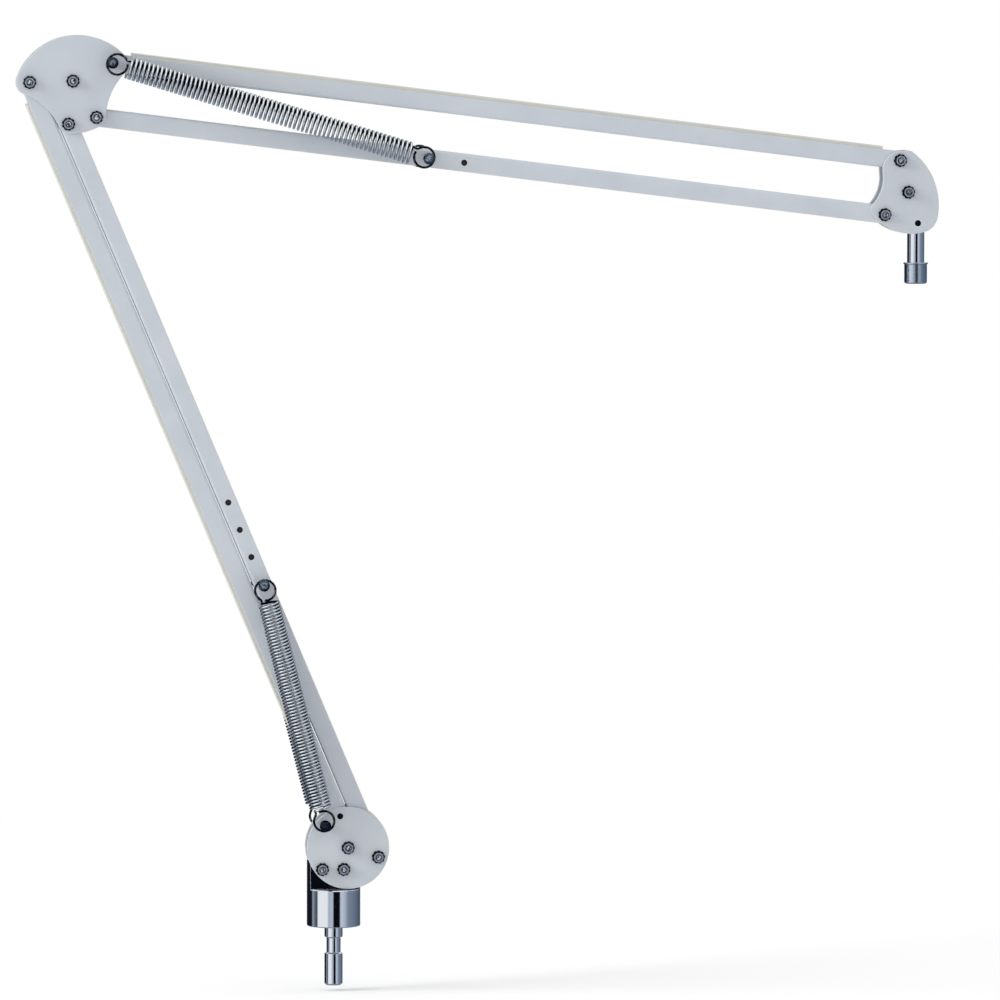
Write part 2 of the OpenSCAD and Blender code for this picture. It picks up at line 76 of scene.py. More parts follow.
def add(tree, kind, settings=None, **inputs):
    """Adds a node. Settings are its own, and an input takes a value or another node's output.
    An input is called by its name, or by its place where names repeat, as in _0."""
    node = tree.nodes.new(kind)
    for name, value in (settings or {}).items():
        setattr(node, name, value)
    for name, value in inputs.items():
        key = int(name[1:]) if name[0] == "_" else name.replace("_", " ")
        if isinstance(value, bpy.types.NodeSocket):
            tree.links.new(value, node.inputs[key])
        else:
            node.inputs[key].default_value = value
    return node


def new_material(name):
    """An empty material, its tree, and the place on the piece in millimetres."""
    material = bpy.data.materials.new(name)
    material.use_nodes = True
    tree = material.node_tree
    tree.nodes.clear()
    metres = add(tree, "ShaderNodeTexCoord").outputs["Object"]
    place = add(tree, "ShaderNodeMapping", Vector=metres, Scale=(1000, 1000, 1000))
    return material, tree, place.outputs["Vector"]


def finish(material, *names):
    """Gives the named CAD nodes a finish."""
    for name in names:
        materials = nodes[name].data.materials
        if not materials:
            materials.append(material)
        for i in range(len(materials)):
            materials[i] = material


def bright_chrome(name, tool_mark_mm):
    """Chrome plate over turned steel. The eye gets a hard mirror with dark and white bands, faint
    rings from the lathe, drawn coarser than life so that they show, and a thin patchy haze."""
    haze_mm = 6.0
    smear_mm = 0.9
    edge_mm = 0.35
    material, tree, place = new_material(name)
    rings = add(
        tree, "ShaderNodeTexWave", {"bands_direction": "Z"}, Vector=place,
        Scale=0.31416 / tool_mark_mm, Distortion=1.5, Detail=3.0, Detail_Scale=0.4,
    )
    haze = add(tree, "ShaderNodeTexNoise", Vector=place, Scale=1 / haze_mm, Detail=4.0)
    smear = add(tree, "ShaderNodeTexNoise", Vector=place, Scale=1 / smear_mm, Detail=3.0)
    patch = add(tree, "ShaderNodeMath", {"operation": "MULTIPLY"}, _0=haze.outputs["Fac"], _1=smear.outputs["Fac"])
    rough = add(
        tree, "ShaderNodeMapRange", Value=patch.outputs[0],
        From_Min=0.15, From_Max=0.4, To_Min=0.03, To_Max=0.1,
    )
    rounded = add(tree, "ShaderNodeBevel", {"samples": 4}, Radius=edge_mm / 1000)
    bump = add(
        tree, "ShaderNodeBump", Height=rings.outputs["Fac"], Normal=rounded.outputs["Normal"],
        Strength=0.02, Distance=0.0001,
    )
    shader = add(
        tree, "ShaderNodeBsdfPrincipled", Metallic=1.0, Base_Color=linear("#DFE3EA"),
        Roughness=rough.outputs["Result"], Normal=bump.outputs["Normal"],
    )
    add(tree, "ShaderNodeOutputMaterial", Surface=shader.outputs["BSDF"])
    return material


finish(bright_chrome("bright chrome on turned steel", 0.3), "hub", "spigot", "mic_stud")


def chromed_thread(name):
    """Chrome on the five eighths inch thread, 27 to the inch. The ridges are carried by the bump,
    so the bands stay upright and are only roughened a little."""
    pitch_mm = 25.4 / 27
    wear_mm = 1.6
    edge_mm = 0.25
    material, tree, place = new_material(name)
    ridges = add(
        tree, "ShaderNodeTexWave", {"bands_direction": "Z", "wave_profile": "TRI"}, Vector=place,
        Scale=0.31416 / pitch_mm,
    )
    wear = add(tree, "ShaderNodeTexNoise", Vector=place, Scale=1 / wear_mm, Detail=5.0)
    rough = add(
        tree, "ShaderNodeMapRange", Value=wear.outputs["Fac"],
        From_Min=0.3, From_Max=0.7, To_Min=0.12, To_Max=0.24,
    )
    rounded = add(tree, "ShaderNodeBevel", {"samples": 4}, Radius=edge_mm / 1000)
    bump = add(
        tree, "ShaderNodeBump", Height=ridges.outputs["Fac"], Normal=rounded.outputs["Normal"],
        Strength=0.25, Distance=0.0004,
    )
    shader = add(
        tree, "ShaderNodeBsdfPrincipled", Metallic=1.0, Base_Color=linear("#B7C1CE"),
        Roughness=rough.outputs["Result"], Normal=bump.outputs["Normal"],
    )
    add(tree, "ShaderNodeOutputMaterial", Surface=shader.outputs["BSDF"])
    return material


finish(chromed_thread("chrome on a cut thread"), "thread_end")

# Discs, plates and bars. They are cut and folded from sheet steel and powder coated off-white.
# The coat is satin, and a lighter colour along the edges is a painted highlight.


def powder_coat(name, tone, deep_tone, rim_highlight_tone):
    """Baked polyester powder on steel. The eye gets a satin, slightly grained skin: an orange peel
    about 0.8 mm across, fine specks in the sheen, a broad faint drift from the spray gun, and
    rounded edges whose lighter colour is a painted highlight."""
    peel_mm = 0.8
    drift_mm = 35.0
    speck_mm = 2.5
    edge_mm = 1.1
    material, tree, place = new_material(name)
    peel = add(tree, "ShaderNodeTexNoise", Vector=place, Scale=1 / peel_mm, Detail=2.0)
    drift = add(tree, "ShaderNodeTexNoise", Vector=place, Scale=1 / drift_mm, Detail=3.0)
    speck = add(tree, "ShaderNodeTexNoise", Vector=place, Scale=1 / speck_mm, Detail=5.0, Roughness=0.7)
    blend = add(tree, "ShaderNodeMapRange", Value=drift.outputs["Fac"], From_Min=0.35, From_Max=0.65)
    colour = add(
        tree, "ShaderNodeMix", {"data_type": "RGBA"},
        _0=blend.outputs["Result"], _6=linear(tone), _7=linear(deep_tone),
    )
    rough = add(
        tree, "ShaderNodeMapRange", Value=speck.outputs["Fac"],
        From_Min=0.3, From_Max=0.7, To_Min=0.48, To_Max=0.62,
    )
    rounded = add(tree, "ShaderNodeBevel", {"samples": 6}, Radius=edge_mm / 1000)
    flat = add(tree, "ShaderNodeNewGeometry").outputs["True Normal"]
    turned = add(
        tree, "ShaderNodeVectorMath", {"operation": "DOT_PRODUCT"}, _0=rounded.outputs["Normal"], _1=flat,
    )
    # Painted highlight: rims are mixed towards the light edge colour where the bevelled normal turns from the flat
    # face.
    painted_rim_highlight = add(
        tree, "ShaderNodeMapRange", Value=turned.outputs["Value"], From_Min=0.985, From_Max=0.82,
    )
    colour = add(
        tree, "ShaderNodeMix", {"data_type": "RGBA"},
        _0=painted_rim_highlight.outputs["Result"], _6=colour.outputs[2], _7=linear(rim_highlight_tone),
    )
    pigment_bump = add(
        tree, "ShaderNodeBump", Height=peel.outputs["Fac"], Normal=rounded.outputs["Normal"],
        Strength=0.12, Distance=0.00005,
    )
    skin_bump = add(
        tree, "ShaderNodeBump", Height=peel.outputs["Fac"], Strength=0.12, Distance=0.00005,
    )
    shader = add(
        tree, "ShaderNodeBsdfPrincipled", Base_Color=colour.outputs[2],
        Roughness=rough.outputs["Result"], Specular_IOR_Level=0.0,
        Normal=pigment_bump.outputs["Normal"],
        Coat_Weight=0.6, Coat_Roughness=0.42, Coat_Normal=skin_bump.outputs["Normal"],
    )
    add(tree, "ShaderNodeOutputMaterial", Surface=shader.outputs["BSDF"])
    return material


finish(
    powder_coat("off-white powder coat on sheet steel", "#D6DCE3", "#D0D6DF", "#F3F4EF"),
    "base_disc_front", "base_disc_rear", "lower_right_bar", "lower_left_bar",
    "elbow_plate_front", "elbow_plate_rear", "upper_bottom_bar", "upper_top_bar",
    "tip_plate_front", "tip_plate_rear",
)

# Cable covers. Two extruded plastic strips grip inside the open sides of the outer bars, over
# the microphone's cable. They are a little warmer and smoother than the paint.


def extruded_plastic(name, tone, deep_tone):
    """Extruded ABS. The eye gets a soft even sheen drawn out along the strip by faint lines
    from the die, 0.5 mm apart, and slow clouds in the colour."""
    line_mm = 0.5
    cloud_mm = 18.0
    edge_mm = 0.4
    material, tree, place = new_material(name)
    lines = add(
        tree, "ShaderNodeTexWave", {"bands_direction": "Y"}, Vector=place,
        Scale=0.31416 / line_mm, Distortion=0.4, Detail=2.0,
    )
    cloud = add(tree, "ShaderNodeTexNoise", Vector=place, Scale=1 / cloud_mm, Detail=4.0)
    blend = add(tree, "ShaderNodeMapRange", Value=cloud.outputs["Fac"], From_Min=0.35, From_Max=0.65)
    colour = add(
        tree, "ShaderNodeMix", {"data_type": "RGBA"},
        _0=blend.outputs["Result"], _6=linear(tone), _7=linear(deep_tone),
    )
    rough = add(
        tree, "ShaderNodeMapRange", Value=cloud.outputs["Fac"],
        From_Min=0.3, From_Max=0.7, To_Min=0.32, To_Max=0.42,
    )
    rounded = add(tree, "ShaderNodeBevel", {"samples": 4}, Radius=edge_mm / 1000)
    bump = add(
        tree, "ShaderNodeBump", Height=lines.outputs["Fac"], Normal=rounded.outputs["Normal"],
        Strength=0.08, Distance=0.00005,
    )
    shader = add(
        tree, "ShaderNodeBsdfPrincipled", Base_Color=colour.outputs[2],
        Roughness=rough.outputs["Result"], IOR=1.54, Normal=bump.outputs["Normal"],
    )
    add(tree, "ShaderNodeOutputMaterial", Surface=shader.outputs["BSDF"])
    return material


finish(
    extruded_plastic("extruded cream ABS", "#DADBD3", "#D4D5CC"),
    "lower_cable_cover", "upper_cable_cover",
)

# Fasteners. Bolts, nuts, bushes and spacers are zinc plated, with a cold, cloudy shine, and their
# flanks are coloured dark as painted shade. The toothed washers and the pins are darker steel. The
# spring posts are polished, and those at the foot and the elbow are coloured darker as a painted
# reflection.


def plated_steel(name, tone, deep_tone, painted_flank_shade, low_rough, high_rough, dent):
    """Plated cold-headed steel. The eye gets a metallic sheen that clouds from grain to grain,
    about 1 mm across, under fine scratches, with shallow dents from the header, 2.5 mm across,
    that break up what it mirrors. Faces square to the bolt keep the plated tone, and the flanks and
    chamfers are coloured dark as painted shade."""
    grain_mm = 1.1
    scratch_mm = 0.35
    dent_mm = 2.5
    edge_mm = 0.25
    material, tree, place = new_material(name)
    grain = add(tree, "ShaderNodeTexNoise", Vector=place, Scale=1 / grain_mm, Detail=4.0)
    scratch = add(tree, "ShaderNodeTexNoise", Vector=place, Scale=1 / scratch_mm, Detail=5.0, Roughness=0.7)
    dents = add(tree, "ShaderNodeTexNoise", Vector=place, Scale=1 / dent_mm, Detail=1.0)
    blend = add(tree, "ShaderNodeMapRange", Value=grain.outputs["Fac"], From_Min=0.35, From_Max=0.65)
    face = add(
        tree, "ShaderNodeMix", {"data_type": "RGBA"},
        _0=blend.outputs["Result"], _6=linear(tone), _7=linear(deep_tone),
    )
    normal = add(tree, "ShaderNodeNewGeometry").outputs["True Normal"]
    along_bolt = add(tree, "ShaderNodeSeparateXYZ", Vector=normal).outputs["Y"]
    square_on = add(tree, "ShaderNodeMath", {"operation": "ABSOLUTE"}, _0=along_bolt)
    # Painted shade: faces that don't face along the bolt are mixed towards the dark flank colour.
    unshaded_share = add(
        tree, "ShaderNodeMapRange", Value=square_on.outputs[0], From_Min=0.86, From_Max=0.97,
    )
    colour = add(
        tree, "ShaderNodeMix", {"data_type": "RGBA"},
        _0=unshaded_share.outputs["Result"], _6=linear(painted_flank_shade), _7=face.outputs[2],
    )
    rough = add(
        tree, "ShaderNodeMapRange", Value=grain.outputs["Fac"],
        From_Min=0.3, From_Max=0.7, To_Min=low_rough, To_Max=high_rough,
    )
    rounded = add(tree, "ShaderNodeBevel", {"samples": 4}, Radius=edge_mm / 1000)
    dented = add(
        tree, "ShaderNodeBump", Height=dents.outputs["Fac"], Normal=rounded.outputs["Normal"],
        Strength=dent, Distance=0.0012,
    )
    bump = add(
        tree, "ShaderNodeBump", Height=scratch.outputs["Fac"], Normal=dented.outputs["Normal"],
        Strength=0.15, Distance=0.00003,
    )
    shader = add(
        tree, "ShaderNodeBsdfPrincipled", Metallic=1.0, Base_Color=colour.outputs[2],
        Roughness=rough.outputs["Result"], Normal=bump.outputs["Normal"],
    )
    add(tree, "ShaderNodeOutputMaterial", Surface=shader.outputs["BSDF"])
    return material


finish(
    plated_steel("zinc plate on cold-headed steel", "#E2E8F0", "#BEC7D3", "#171B24", 0.38, 0.5, 0.3),
    "base_spacer_tubes", "base_nuts", "base_pivot_bushes", "lower_post_spacer",
    "elbow_spacer_tube", "elbow_bushes", "elbow_nuts", "upper_post_spacer",
    "tip_block", "tip_bushes", "tip_nuts",
)
finish(
    plated_steel("bright zinc on cropped bolt ends", "#EEF1F6", "#C9D0DA", "#232934", 0.1, 0.2, 1.0),
    "base_bolts", "elbow_bolts", "tip_bolts",
)
washer_finish = plated_steel(
    "dark spring steel of toothed washers", "#232834", "#141820", "#141820", 0.3, 0.45, 0.3,
)
washer_teeth = 9
washer_bore_mm = 4.4
washer_root_mm = 8.3
washer_tip_mm = 9.3
tooth_thick_mm = 0.5
tooth_twist_mm = 0.14
tooth_steps = [(-0.5, 0, 0), (-0.34, 0, 0), (-0.24, 1, 1), (0.24, 1, -1), (0.34, 0, 0)]


def washer_centres(node):
    """The middles of the separate washers in a CAD node, found from its joined faces."""
    whole = bmesh.new()
    whole.from_mesh(nodes[node].data)
    bmesh.ops.remove_doubles(whole, verts=whole.verts, dist=1e-6)
    waiting = set(whole.verts)
    centres = []
    while waiting:
        group, edge_of = set(), [waiting.pop()]
        while edge_of:
            point = edge_of.pop()
            group.add(point)
            near = {line.other_vert(point) for line in point.link_edges} & waiting
            waiting -= near
            edge_of.extend(near)
        lows = [min(point.co[i] for point in group) for i in range(3)]
        highs = [max(point.co[i] for point in group) for i in range(3)]
        centres.append((Vector(lows) + Vector(highs)) / 2)
    whole.free()
    return centres


def toothed_washers(name, node, body):
    """Stamped washers whose nine short teeth are twisted to bite, in place of the plain ones."""
    low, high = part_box(node)
    half = (high[1] - low[1]) / 2
    step = math.tau / washer_teeth
    stamped = bmesh.new()
    for number, centre in enumerate(washer_centres(node)):
        loop = []
        for tooth in range(washer_teeth):
            for share, out, twist in tooth_steps:
                a = (tooth + share) * step + 0.4 * number
                way = Vector((math.cos(a), 0, math.sin(a)))
                bore = centre + way * (washer_bore_mm / 2000)
                rim = centre + way * ((washer_tip_mm if out else washer_root_mm) / 2000)
                rim.y += twist * tooth_twist_mm / 1000
                thin = Vector((0, tooth_thick_mm / 2000, 0))
                thick = Vector((0, half, 0))
                loop.append([
                    stamped.verts.new(p) for p in (bore - thick, rim - thin, rim + thin, bore + thick)
                ])
        for here, there in zip(loop, loop[1:] + loop[:1]):
            for i in range(4):
                j = (i + 1) % 4
                stamped.faces.new((here[i], here[j], there[j], there[i]))
    bmesh.ops.recalc_face_normals(stamped, faces=stamped.faces)
    mesh = bpy.data.meshes.new(name)
    stamped.to_mesh(mesh)
    stamped.free()
    mesh.materials.append(washer_finish)
    washers = bpy.data.objects.new(name, mesh)
    bpy.context.collection.objects.link(washers)
    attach(washers, body)
    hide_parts(node)


for place in ("base", "elbow", "tip"):
    toothed_washers(place + "_toothed_washers", place + "_star_washers", place)

finish(
    plated_steel("black oxide on steel pins", "#252A38", "#171A24", "#171A24", 0.3, 0.5, 0.3),
    "base_left_pin", "tip_cross_pin",
)
finish(
    plated_steel("polished shoulder screws", "#B4BECC", "#818C9A", "#4A5361", 0.12, 0.2, 1.0),
    "lower_bar_spring_posts", "upper_bar_spring_posts",
)
# Painted reflection: the elbow's posts are the same polished screws, coloured dimmer.
finish(
    plated_steel("shoulder screws with a dim painted reflection", "#8A94A3", "#5B6470", "#2C323D", 0.14, 0.24, 1.0),
    "elbow_spring_posts",
)
# Painted reflection: the foot's posts are the same polished screws, coloured nearly black.
finish(
    plated_steel("shoulder screws with a dark painted reflection", "#333B4D", "#222937", "#1B202B", 0.2, 0.3, 0.8),
    "base_spring_posts",
)

# Nylon. Thin natural washers keep the bars off the plates, so only their rims can be seen, and
# black caps close the spare spring holes.


def nylon(name, tone, deep_tone, low_rough, high_rough):
    """Moulded nylon. The eye gets a soft waxy sheen with a faint mottle, 2 mm across."""
    mottle_mm = 2.0
    edge_mm = 0.2
    material, tree, place = new_material(name)
    mottle = add(tree, "ShaderNodeTexNoise", Vector=place, Scale=1 / mottle_mm, Detail=3.0)
    blend = add(tree, "ShaderNodeMapRange", Value=mottle.outputs["Fac"], From_Min=0.35, From_Max=0.65)
    colour = add(
        tree, "ShaderNodeMix", {"data_type": "RGBA"},
        _0=blend.outputs["Result"], _6=linear(tone), _7=linear(deep_tone),
    )
    rough = add(
        tree, "ShaderNodeMapRange", Value=mottle.outputs["Fac"],
        From_Min=0.3, From_Max=0.7, To_Min=low_rough, To_Max=high_rough,
    )
    rounded = add(tree, "ShaderNodeBevel", {"samples": 4}, Radius=edge_mm / 1000)
    shader = add(
        tree, "ShaderNodeBsdfPrincipled", Base_Color=colour.outputs[2],
        Roughness=rough.outputs["Result"], IOR=1.53, Normal=rounded.outputs["Normal"],
    )
    add(tree, "ShaderNodeOutputMaterial", Surface=shader.outputs["BSDF"])
    return material


finish(
    nylon("natural nylon sheet", "#E8E6DE", "#DCDAD0", 0.4, 0.5),
    "base_nylon_washers", "elbow_nylon_washers", "tip_nylon_washers",
)
finish(nylon("black nylon caps", "#15171D", "#0E1015", 0.45, 0.6), "lower_hole_plugs", "upper_hole_plugs")

# Springs. Four tension springs balance the arm, a pair on each link, wound from 1.7 mm plated
# music wire in 67 turns. A ring bent out of each end hooks over a post.


def music_wire(name, tone, painted_darkness_tone):
    """Zinc over music wire. The eye gets bright outer curves. The inner sides of the coils carry
    painted shade and the bent hooks a painted dark reflection, both marked in the mesh and coloured
    nearly black."""
    grain_mm = 1.4
    streak_mm = 0.3
    material, tree, place = new_material(name)
    grain = add(tree, "ShaderNodeTexNoise", Vector=place, Scale=1 / grain_mm, Detail=4.0)
    streak = add(tree, "ShaderNodeTexNoise", Vector=place, Scale=1 / streak_mm, Detail=3.0)
    painted_darkness = add(tree, "ShaderNodeAttribute", {"attribute_name": "painted_darkness"})
    # Painted shade inside the coils and a painted dark reflection on the hooks come from the mesh, broken up by
    # the grain.
    grain_and_painted_darkness = add(tree, "ShaderNodeMath", {"operation": "MULTIPLY_ADD"}, _0=grain.outputs["Fac"], _1=0.5, _2=painted_darkness.outputs["Fac"])
    cover = add(
        tree, "ShaderNodeMapRange", {"interpolation_type": "SMOOTHSTEP"}, Value=grain_and_painted_darkness.outputs[0],
        From_Min=0.27, From_Max=0.57,
    )
    colour = add(
        tree, "ShaderNodeMix", {"data_type": "RGBA"},
        _0=cover.outputs["Result"], _6=linear(tone), _7=linear(painted_darkness_tone),
    )
    rough = add(
        tree, "ShaderNodeMapRange", Value=grain.outputs["Fac"],
        From_Min=0.3, From_Max=0.7, To_Min=0.12, To_Max=0.22,
    )
    bump = add(
        tree, "ShaderNodeBump", Height=streak.outputs["Fac"], Strength=0.15, Distance=0.00003,
    )
    shader = add(
        tree, "ShaderNodeBsdfPrincipled", Metallic=1.0, Base_Color=colour.outputs[2],
        Roughness=rough.outputs["Result"], Normal=bump.outputs["Normal"],
    )
    add(tree, "ShaderNodeOutputMaterial", Surface=shader.outputs["BSDF"])
    return material


wire_finish = music_wire("bright zinc on music wire", "#EDF2F7", "#10141F")
wire_mm = 1.7
coil_turns = 67
groove_mm = 5.0
hook_gap_mm = 0.3
wire_sides = 12
rings_per_turn = 18
ring_steps = 36
bend_steps = 8
hook_painted_darkness = 0.3
ring_opens_at = math.radians(378)
ring_leaves_at = math.radians(48)
coil_starts_at = math.radians(62)


def spring_path(length, coil_radius, wire):
    """Centreline in metres, along x from post to post. The rings lie in the plane of x and y."""
    ring_x = coil_radius - wire / 2 - groove_mm / 2000 - hook_gap_mm / 1000
    coil_x = ring_x + coil_radius + 1.2 * wire
    hook = []
    for i in range(ring_steps + 1):
        a = ring_opens_at + (ring_leaves_at - ring_opens_at) * i / ring_steps
        hook.append(Vector((ring_x + coil_radius * math.cos(a), coil_radius * math.sin(a), 0)))
    leave = hook[-1]
    leave_way = Vector((math.sin(ring_leaves_at), -math.cos(ring_leaves_at), 0))
    enter = Vector((
        coil_x, coil_radius * math.cos(coil_starts_at), coil_radius * math.sin(coil_starts_at),
    ))
    enter_way = Vector((0, -math.sin(coil_starts_at), math.cos(coil_starts_at)))
    pull = 0.55 * (enter - leave).length
    for i in range(1, bend_steps):
        t = i / bend_steps
        hook.append(
            leave * (1 - t) ** 3
            + (leave + leave_way * pull) * 3 * t * (1 - t) ** 2
            + (enter - enter_way * pull) * 3 * t * t * (1 - t)
            + enter * t ** 3
        )
    coil = []
    steps = coil_turns * rings_per_turn
    for i in range(steps + 1):
        a = coil_starts_at + (math.tau * coil_turns - 2 * coil_starts_at) * i / steps
        x = coil_x + (length - 2 * coil_x) * i / steps
        coil.append(Vector((x, coil_radius * math.cos(a), coil_radius * math.sin(a))))
    path = hook + coil + [Vector((length - p.x, p.y, -p.z)) for p in reversed(hook)]
    in_coil = [ring_steps < i < len(path) - 1 - ring_steps for i in range(len(path))]
    return path, in_coil


def wire_mesh(name, path, in_coil, axis, radius):
    """A round wire along a path, with flat cut ends. Its points carry painted darkness on the hooks
    and where they face the spring's axis."""
    last = len(path) - 1
    heads = [(path[min(i + 1, last)] - path[max(i - 1, 0)]).normalized() for i in range(last + 1)]
    across = heads[0].orthogonal()
    start, way = axis
    points, faces, painted_darkness = [], [], []
    for i, (centre, head) in enumerate(zip(path, heads)):
        across = (across - head * across.dot(head)).normalized()
        side = head.cross(across)
        for k in range(wire_sides):
            a = math.tau * k / wire_sides
            out = math.cos(a) * across + math.sin(a) * side
            points.append(centre + radius * out)
            inward = start + way * (centre - start).dot(way) - centre
            # Painted shade on the coils' inner sides, and a painted dark reflection on the hooks.
            painted_darkness.append(0.5 + 0.5 * out.dot(inward.normalized()) if in_coil[i] else hook_painted_darkness)
            if i < last:
                here, there = i * wire_sides + k, i * wire_sides + (k + 1) % wire_sides
                faces.append((here, there, there + wire_sides, here + wire_sides))
    faces.append(tuple(reversed(range(wire_sides))))
    faces.append(tuple(last * wire_sides + k for k in range(wire_sides)))
    mesh = bpy.data.meshes.new(name)
    mesh.from_pydata(points, [], faces)
    mesh.shade_smooth()
    mark = mesh.attributes.new("painted_darkness", "FLOAT", "POINT")
    mark.data.foreach_set("value", painted_darkness)
    return mesh


def middle(name):
    low, high = (Vector(v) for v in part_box(name))
    return (low + high) / 2


def tension_spring(name, node, plate_posts, bar_posts):
    """A spring in place of its plain one, wound straight from the plate's post to the bar's post."""
    low, high = (Vector(v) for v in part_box(node))
    start, end = middle(plate_posts), middle(bar_posts)
    start.y = end.y = (low.y + high.y) / 2
    reach = (end - start).length
    way = (end - start).normalized()
    across = Vector((-way.z, 0, way.x))
    depth = way.cross(across)
    wire = wire_mm / 1000
    coil_radius = (high.y - low.y - wire) / 2
    local_path, in_coil = spring_path(reach, coil_radius, wire)
    path = [start + way * p.x + across * p.y + depth * p.z for p in local_path]
    spring = bpy.data.objects.new(name, wire_mesh(name, path, in_coil, (start, way), wire / 2))
    bpy.context.collection.objects.link(spring)
    spring.data.materials.append(wire_finish)
    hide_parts(node)
    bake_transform(spring)


for side in ("front", "rear"):
    tension_spring(
        "lower_wound_spring_" + side, "lower_spring_" + side,
        "base_spring_posts", "lower_bar_spring_posts",
    )
    tension_spring(
        "upper_wound_spring_" + side, "upper_spring_" + side,
        "elbow_spring_posts", "upper_bar_spring_posts",
    )

# Floor. The arm stands over seamless white paper that keeps a faint shadow near the foot and
# runs out to plain white for the camera. Its grain is too fine to see from here.

floor_gap = 0.004
floor_half = 12.0
shadow_reach = 0.35
fade_reach = 1.2


def seamless_paper(name):
    """Matt white paper. The eye gets soft shadow and nothing else, with a lift for the camera,
    for reflections and for rays that pass through, so that the page stays white."""
    grain_mm = 40.0
    material, tree, place = new_material(name)
    grain = add(tree, "ShaderNodeTexNoise", Vector=place, Scale=1 / grain_mm, Detail=2.0)
    rough = add(
        tree, "ShaderNodeMapRange", Value=grain.outputs["Fac"],
        From_Min=0.3, From_Max=0.7, To_Min=0.4, To_Max=0.6,
    )
    paper = add(
        tree, "ShaderNodeBsdfDiffuse", Color=linear("#F2F2F2"), Roughness=rough.outputs["Result"],
    )
    rays = add(tree, "ShaderNodeLightPath").outputs
    eye = add(
        tree, "ShaderNodeMath", {"operation": "MAXIMUM"},
        _0=rays["Is Camera Ray"], _1=rays["Is Transmission Ray"],
    )
    eye = add(
        tree, "ShaderNodeMath", {"operation": "MAXIMUM"},
        _0=eye.outputs[0], _1=rays["Is Glossy Ray"],
    )
    away = add(tree, "ShaderNodeVectorMath", {"operation": "LENGTH"}, _0=place)
    out = add(
        tree, "ShaderNodeMapRange", {"interpolation_type": "SMOOTHSTEP"}, Value=away.outputs["Value"],
        From_Min=shadow_reach * 1000, From_Max=fade_reach * 1000,
    )
    plain = add(tree, "ShaderNodeMath", {"operation": "MULTIPLY"}, _0=eye.outputs[0], _1=out.outputs["Result"])
    lift = add(tree, "ShaderNodeMath", {"operation": "MULTIPLY"}, _0=eye.outputs[0], _1=floor_lift)
    glow = add(tree, "ShaderNodeEmission", Strength=lift.outputs[0])
    near = add(tree, "ShaderNodeAddShader", _0=paper.outputs[0], _1=glow.outputs[0])
    white = add(tree, "ShaderNodeEmission", Strength=1.0)
    both = add(tree, "ShaderNodeMixShader", _0=plain.outputs[0], _1=near.outputs[0], _2=white.outputs[0])
    add(tree, "ShaderNodeOutputMaterial", Surface=both.outputs[0])
    return material


floor_lift = 0.1
floor_mesh = bpy.data.meshes.new("studio_floor")
floor_mesh.from_pydata(
    [(-floor_half, -floor_half, 0), (floor_half, -floor_half, 0), (floor_half, floor_half, 0), (-floor_half, floor_half, 0)],
    [], [(0, 1, 2, 3)],
)
floor_mesh.materials.append(seamless_paper("seamless white paper"))
floor = bpy.data.objects.new("studio_floor", floor_mesh)
floor.location.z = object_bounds()[0][2] - floor_gap
floor.visible_glossy = False
bpy.context.collection.objects.link(floor)

# Light tent. White cloth hangs round the arm with black and grey cards pinned to it. Only the
# metal sees it, and the cards give the chrome its upright bands.

tent_radius = 4.0
tent_centre = (0.1, 0.0, 0.35)


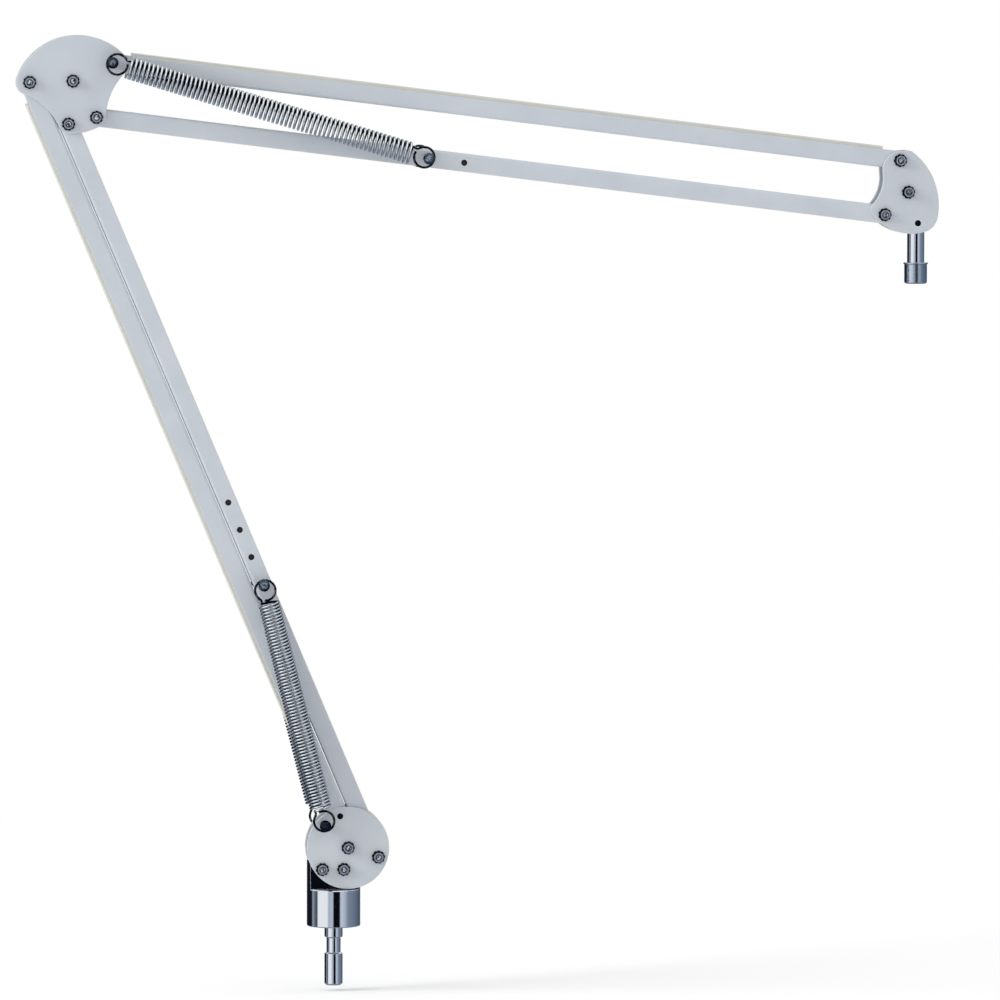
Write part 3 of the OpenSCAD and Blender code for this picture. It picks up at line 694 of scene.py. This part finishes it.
def tent_cloth(name):
    """Cloth and cards by their bearing from straight in front of the arm, in degrees towards the
    right, with plain white above and a grey carpet below."""
    card_tones = [
        (-180, "#A4AEBA"), (-166, "#949EAB"), (-162, "#11141B"), (-112, "#1B1F29"), (-104, "#9FA8B4"), (-90, "#5D6673"), (-80, "#4C5460"),
        (-74, "#FFFFFF"), (-33, "#FFFFFF"), (-27, "#B9C2CE"), (-9, "#C6CDD8"), (-6, "#0A0C14"),
        (20, "#0A0E1A"), (25, "#D4DAE3"), (42, "#BEC7D3"), (60, "#8591A1"), (100, "#6F7C8E"),
        (140, "#4E5867"), (152, "#2E3541"), (156, "#E3E8EE"), (167, "#D3DAE2"), (170, "#A4AEBA"),
    ]
    cloth_up = (0.42, 0.55)
    carpet_down = (-0.45, -0.6)
    material = bpy.data.materials.new(name)
    material.use_nodes = True
    material.cycles.emission_sampling = "NONE"
    tree = material.node_tree
    tree.nodes.clear()
    way = add(tree, "ShaderNodeTexCoord").outputs["Object"]
    unit = add(tree, "ShaderNodeVectorMath", {"operation": "NORMALIZE"}, _0=way)
    axes = add(tree, "ShaderNodeSeparateXYZ", Vector=unit.outputs["Vector"]).outputs
    forward = add(tree, "ShaderNodeMath", {"operation": "MULTIPLY"}, _0=axes["Y"], _1=-1.0)
    bearing = add(tree, "ShaderNodeMath", {"operation": "ARCTAN2"}, _0=axes["X"], _1=forward.outputs[0])
    turn = add(
        tree, "ShaderNodeMapRange", Value=bearing.outputs[0], From_Min=-math.pi, From_Max=math.pi,
    )
    cards = add(tree, "ShaderNodeValToRGB", Fac=turn.outputs["Result"])
    ramp = cards.color_ramp
    while len(ramp.elements) < len(card_tones):
        ramp.elements.new(1.0)
    for element, (degrees, tone) in zip(ramp.elements, card_tones):
        element.position = degrees / 360 + 0.5
        element.color = linear(tone)
    above = add(
        tree, "ShaderNodeMapRange", {"interpolation_type": "SMOOTHSTEP"}, Value=axes["Z"],
        From_Min=cloth_up[0], From_Max=cloth_up[1],
    )
    below = add(
        tree, "ShaderNodeMapRange", {"interpolation_type": "SMOOTHSTEP"}, Value=axes["Z"],
        From_Min=carpet_down[0], From_Max=carpet_down[1],
    )
    cloth = add(
        tree, "ShaderNodeMix", {"data_type": "RGBA"},
        _0=above.outputs["Result"], _6=cards.outputs["Color"], _7=linear("#FFFFFF"),
    )
    cloth = add(
        tree, "ShaderNodeMix", {"data_type": "RGBA"},
        _0=below.outputs["Result"], _6=cloth.outputs[2], _7=linear("#8C96A5"),
    )
    glow = add(tree, "ShaderNodeEmission", Color=cloth.outputs[2], Strength=1.0)
    add(tree, "ShaderNodeOutputMaterial", Surface=glow.outputs[0])
    return material


tent_mesh = bpy.data.meshes.new("light_tent")
shell = bmesh.new()
bmesh.ops.create_uvsphere(shell, u_segments=64, v_segments=32, radius=tent_radius)
shell.to_mesh(tent_mesh)
shell.free()
tent_mesh.materials.append(tent_cloth("white cloth with black and grey cards"))
tent = bpy.data.objects.new("light_tent", tent_mesh)
tent.location = tent_centre
tent.visible_camera = tent.visible_diffuse = tent.visible_transmission = False
tent.visible_volume_scatter = tent.visible_shadow = False
bpy.context.collection.objects.link(tent)

# Room light. White walls all round light the arm, dimmer in front and behind, so that faces are
# pale grey and edges white. The camera, mirrors and clear things see the walls as plain white.

world = bpy.data.worlds.new("white room")
bpy.context.scene.world = world
world.use_nodes = True
room = world.node_tree
room.nodes.clear()
toward = add(room, "ShaderNodeTexCoord").outputs["Generated"]
depth_axis = add(room, "ShaderNodeSeparateXYZ", Vector=toward).outputs["Y"]
end_on = add(room, "ShaderNodeMath", {"operation": "ABSOLUTE"}, _0=depth_axis)
dimmed = add(room, "ShaderNodeMapRange", Value=end_on.outputs[0], To_Min=1.13, To_Max=0.385)
rays = add(room, "ShaderNodeLightPath").outputs
seen = add(
    room, "ShaderNodeMath", {"operation": "MAXIMUM"},
    _0=rays["Is Camera Ray"], _1=rays["Is Transmission Ray"],
)
seen = add(
    room, "ShaderNodeMath", {"operation": "MAXIMUM"}, _0=seen.outputs[0], _1=rays["Is Glossy Ray"],
)
lighting = add(room, "ShaderNodeBackground", Color=linear("#FFFFFF"), Strength=dimmed.outputs["Result"])
walls = add(room, "ShaderNodeBackground", Color=linear("#FFFFFF"), Strength=1.0)
both = add(room, "ShaderNodeMixShader", _0=seen.outputs[0], _1=lighting.outputs[0], _2=walls.outputs[0])
add(room, "ShaderNodeOutputWorld", Surface=both.outputs[0])

# Key light. One large softbox up and to the left gives the plates their light left rims.

lamp = bpy.data.lights.new("key_softbox", "AREA")
lamp.shape = "DISK"
lamp.size = 5.2
lamp.energy = 380
key = bpy.data.objects.new("key_softbox", lamp)
key.location = (-7.2, -1.5, 3.5)
key.rotation_mode = "QUATERNION"
key.rotation_quaternion = (Vector((0.05, 0, 0.3)) - key.location).to_track_quat("-Z", "Y")
bpy.context.collection.objects.link(key)

# Camera. A long lens looks at the arm from slightly left of and above it. The foot's shoulder,
# which is the origin, falls on a chosen pixel of the page.

page_px = 1000
metres_per_px = 0.6931e-3
origin_px = Vector((333.6, 925.35))
camera_far = 6.08
camera_left = math.radians(5.4)
camera_up = math.radians(3.67)
camera_roll = math.radians(0.14)

back = Vector((
    -math.sin(camera_left) * math.cos(camera_up),
    -math.cos(camera_left) * math.cos(camera_up),
    math.sin(camera_up),
))
level = Vector((math.cos(camera_left), -math.sin(camera_left), 0))
upright = back.cross(level)
right = level * math.cos(camera_roll) + upright * math.sin(camera_roll)
up = upright * math.cos(camera_roll) - level * math.sin(camera_roll)
lens = bpy.data.cameras.new("camera")
lens.sensor_width = 36
lens.lens = lens.sensor_width * camera_far / (page_px * metres_per_px)
lens.clip_end = 100
camera = bpy.data.objects.new("camera", lens)
camera.location = (
    metres_per_px * (right * (page_px / 2 - origin_px.x) + up * (origin_px.y - page_px / 2))
    + back * camera_far
)
camera.rotation_mode = "QUATERNION"
camera.rotation_quaternion = Matrix((right, up, back)).transposed().to_quaternion()
bpy.context.collection.objects.link(camera)
bpy.context.scene.camera = camera
bpy.context.scene.view_settings.view_transform = "Standard"
